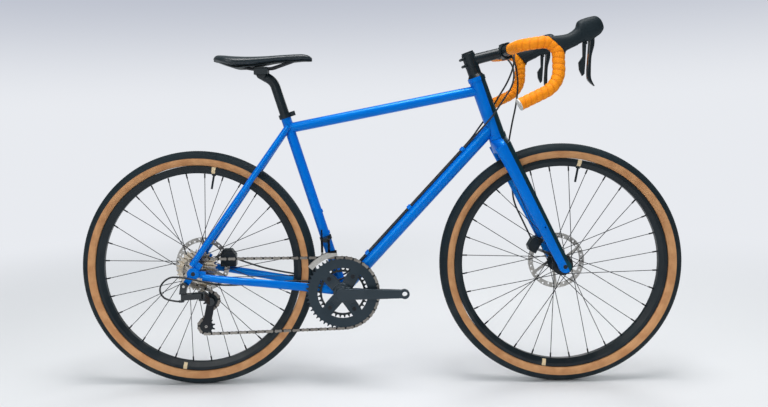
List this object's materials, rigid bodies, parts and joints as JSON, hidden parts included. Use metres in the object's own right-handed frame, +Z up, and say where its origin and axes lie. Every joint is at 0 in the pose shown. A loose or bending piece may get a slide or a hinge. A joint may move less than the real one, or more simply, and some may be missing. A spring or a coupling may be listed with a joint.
{
  "type": "drop-bar gravel bicycle",
  "caption": "Gravel bicycle with drop bars, disc brakes, spoked wheels with tan sidewalls, double chainset and derailleurs; steers, rolls, pedals, shifts and brakes at the levers.",
  "frame": {"origin": "on the ground midway between the two axles", "axes": "+X forward along the bicycle, +Y to the rider's left, +Z up"},
  "size_m": [1.7078, 0.4782, 0.9998],
  "materials": {
    "frame_paint": "gloss blue paint",
    "fork_paint": "gloss blue paint with a black front",
    "black_alloy": "black anodised",
    "grey_alloy": "dark grey satin",
    "silver_alloy": "bright silver",
    "steel": "brushed",
    "dark_steel": "blackened",
    "tyre": "black tread with tan sidewalls",
    "tape": "orange padded tape",
    "hood_rubber": "matte black",
    "saddle_cover": "smooth black cover",
    "plastic": "matte black"
  },
  "bodies": {
    "frame": {"head_tube": "frame_paint", "top_tube": "frame_paint", "down_tube": "frame_paint", "seat_tube": "frame_paint", "bottom_bracket_shell": "frame_paint", "chainstays": "frame_paint", "seatstays": "frame_paint", "rear_dropouts": "frame_paint", "seat_clamp": "black_alloy", "frame_bearings": "black_alloy", "rear_thru_axle": "black_alloy", "rear_caliper": "black_alloy", "front_derailleur_clamp": "black_alloy", "chain": "steel", "rear_control_cables": "plastic"},
    "seatpost": {"seatpost": "black_alloy", "saddle_clamp": "black_alloy", "saddle_rails": "dark_steel", "saddle_shell": "plastic", "saddle_cover": "saddle_cover"},
    "rear_wheel": {"rear_tyre": "tyre", "rear_rim": "black_alloy", "rear_spokes": "dark_steel", "rear_hub": "black_alloy", "rear_rotor": "steel"},
    "front_wheel": {"front_tyre": "tyre", "front_rim": "black_alloy", "front_spokes": "dark_steel", "front_hub": "black_alloy", "front_rotor": "steel"},
    "steering": {"fork": "fork_paint", "headset_spacers": "black_alloy", "stem": "black_alloy", "stem_faceplate": "black_alloy", "stem_bolts": "dark_steel", "handlebar": "black_alloy", "bar_tape": "tape", "bar_end_plugs": "plastic", "lever_hoods": "hood_rubber", "front_thru_axle": "black_alloy", "front_caliper": "black_alloy", "front_brake_hose": "plastic"},
    "brake_lever_left": {"brake_lever_left": "black_alloy"},
    "brake_lever_right": {"brake_lever_right": "black_alloy"},
    "shift_paddle_left": {"shift_paddle_left": "plastic"},
    "shift_paddle_right": {"shift_paddle_right": "plastic"},
    "crank": {"crank_arm_right": "grey_alloy", "crank_arm_left": "grey_alloy", "outer_chainring": "grey_alloy", "inner_chainring": "black_alloy", "chainring_bolts": "dark_steel"},
    "cassette": {"cassette": "steel"},
    "derailleur_knuckle": {"derailleur_knuckle": "black_alloy"},
    "derailleur_outer_link": {"derailleur_outer_link": "grey_alloy"},
    "derailleur_inner_link": {"derailleur_inner_link": "black_alloy"},
    "derailleur_lower_knuckle": {"derailleur_lower_knuckle": "grey_alloy"},
    "derailleur_cage": {"derailleur_cage": "silver_alloy"},
    "guide_pulley": {"guide_pulley": "plastic"},
    "tension_pulley": {"tension_pulley": "plastic"},
    "front_derailleur_cage": {"front_derailleur_cage": "silver_alloy"}
  },
  "joints": [
    {"name": "steering_turn", "type": "hinge", "parent": "frame", "child": "steering", "pos_m": [0.34443, 0, 0.69615], "axis": [-0.3256, 0, 0.9455], "range_deg": [-75, 75], "deforming": ["rear_control_cables"]},
    {"name": "front_wheel_spin", "type": "hinge", "parent": "steering", "child": "front_wheel", "pos_m": [0.515, 0, 0.339], "axis": [0, 1, 0], "continuous": true},
    {"name": "rear_wheel_spin", "type": "hinge", "parent": "frame", "child": "rear_wheel", "pos_m": [-0.515, 0, 0.339], "axis": [0, 1, 0], "continuous": true},
    {"name": "crank_spin", "type": "hinge", "parent": "frame", "child": "crank", "pos_m": [-0.10054, 0, 0.271], "axis": [0, 1, 0], "continuous": true, "deforming": ["chain"]},
    {"name": "cassette_spin", "type": "hinge", "parent": "frame", "child": "cassette", "pos_m": [-0.515, 0, 0.339], "axis": [0, 1, 0], "continuous": true},
    {"name": "derailleur_swing", "type": "hinge", "parent": "frame", "child": "derailleur_knuckle", "pos_m": [-0.539, -0.0853, 0.308], "axis": [0, 1, 0], "range_deg": [0, 25], "stiffness_Nm_per_rad": 1.5, "springref_deg": -17.19, "deforming": ["chain", "rear_control_cables"]},
    {"name": "derailleur_shift", "type": "hinge", "parent": "derailleur_knuckle", "child": "derailleur_outer_link", "pos_m": [-0.545, -0.0978, 0.277], "axis": [0, 0, 1], "range_deg": [-20, 24], "deforming": ["chain"]},
    {"name": "derailleur_inner_pivot", "type": "hinge", "parent": "derailleur_knuckle", "child": "derailleur_inner_link", "pos_m": [-0.545, -0.0868, 0.277], "axis": [0, 0, 1], "range_deg": [-20, 24]},
    {"name": "derailleur_lower_pivot", "type": "hinge", "parent": "derailleur_outer_link", "child": "derailleur_lower_knuckle", "pos_m": [-0.495, -0.0838, 0.277], "axis": [0, 0, 1], "range_deg": [-24, 20]},
    {"name": "cage_swing", "type": "hinge", "parent": "derailleur_lower_knuckle", "child": "derailleur_cage", "pos_m": [-0.473, -0.046, 0.256], "axis": [0, 1, 0], "range_deg": [-35, 45], "stiffness_Nm_per_rad": 1, "deforming": ["chain"]},
    {"name": "guide_pulley_spin", "type": "hinge", "parent": "derailleur_cage", "child": "guide_pulley", "pos_m": [-0.473, -0.046, 0.256], "axis": [0, 1, 0], "continuous": true},
    {"name": "tension_pulley_spin", "type": "hinge", "parent": "derailleur_cage", "child": "tension_pulley", "pos_m": [-0.48983, -0.046, 0.18086], "axis": [0, 1, 0], "continuous": true},
    {"name": "front_derailleur_shift", "type": "hinge", "parent": "frame", "child": "front_derailleur_cage", "pos_m": [-0.1464, -0.042, 0.421], "axis": [1, 0, 0], "range_deg": [0, 9], "deforming": ["chain"]},
    {"name": "brake_lever_left_pull", "type": "hinge", "parent": "steering", "child": "brake_lever_left", "pos_m": [0.53769, 0.205, 0.95297], "axis": [0, 1, 0], "range_deg": [0, 20], "stiffness_Nm_per_rad": 1.5, "springref_deg": -5.73},
    {"name": "shift_paddle_left_push", "type": "hinge", "parent": "brake_lever_left", "child": "shift_paddle_left", "pos_m": [0.52119, 0.205, 0.93697], "axis": [-1, 0, 0], "range_deg": [0, 10], "stiffness_Nm_per_rad": 0.6, "springref_deg": -5.73},
    {"name": "brake_lever_right_pull", "type": "hinge", "parent": "steering", "child": "brake_lever_right", "pos_m": [0.53769, -0.205, 0.95297], "axis": [0, 1, 0], "range_deg": [0, 20], "stiffness_Nm_per_rad": 1.5, "springref_deg": -5.73},
    {"name": "shift_paddle_right_push", "type": "hinge", "parent": "brake_lever_right", "child": "shift_paddle_right", "pos_m": [0.52119, -0.205, 0.93697], "axis": [1, 0, 0], "range_deg": [0, 10], "stiffness_Nm_per_rad": 0.6, "springref_deg": -5.73},
    {"name": "seatpost_height", "type": "slide", "parent": "frame", "child": "seatpost", "axis": [-0.2924, 0, 0.9563], "range_m": [-0.07, 0.04]}
  ],
  "couplings": [
    {"joint": "cassette_spin", "follows": "crank_spin", "ratio": 2.9412},
    {"joint": "tension_pulley_spin", "follows": "crank_spin", "ratio": 4.5455},
    {"joint": "guide_pulley_spin", "follows": "crank_spin", "ratio": -4.5455},
    {"joint": "derailleur_inner_pivot", "follows": "derailleur_shift", "ratio": 1},
    {"joint": "derailleur_lower_pivot", "follows": "derailleur_shift", "ratio": -1}
  ]
}
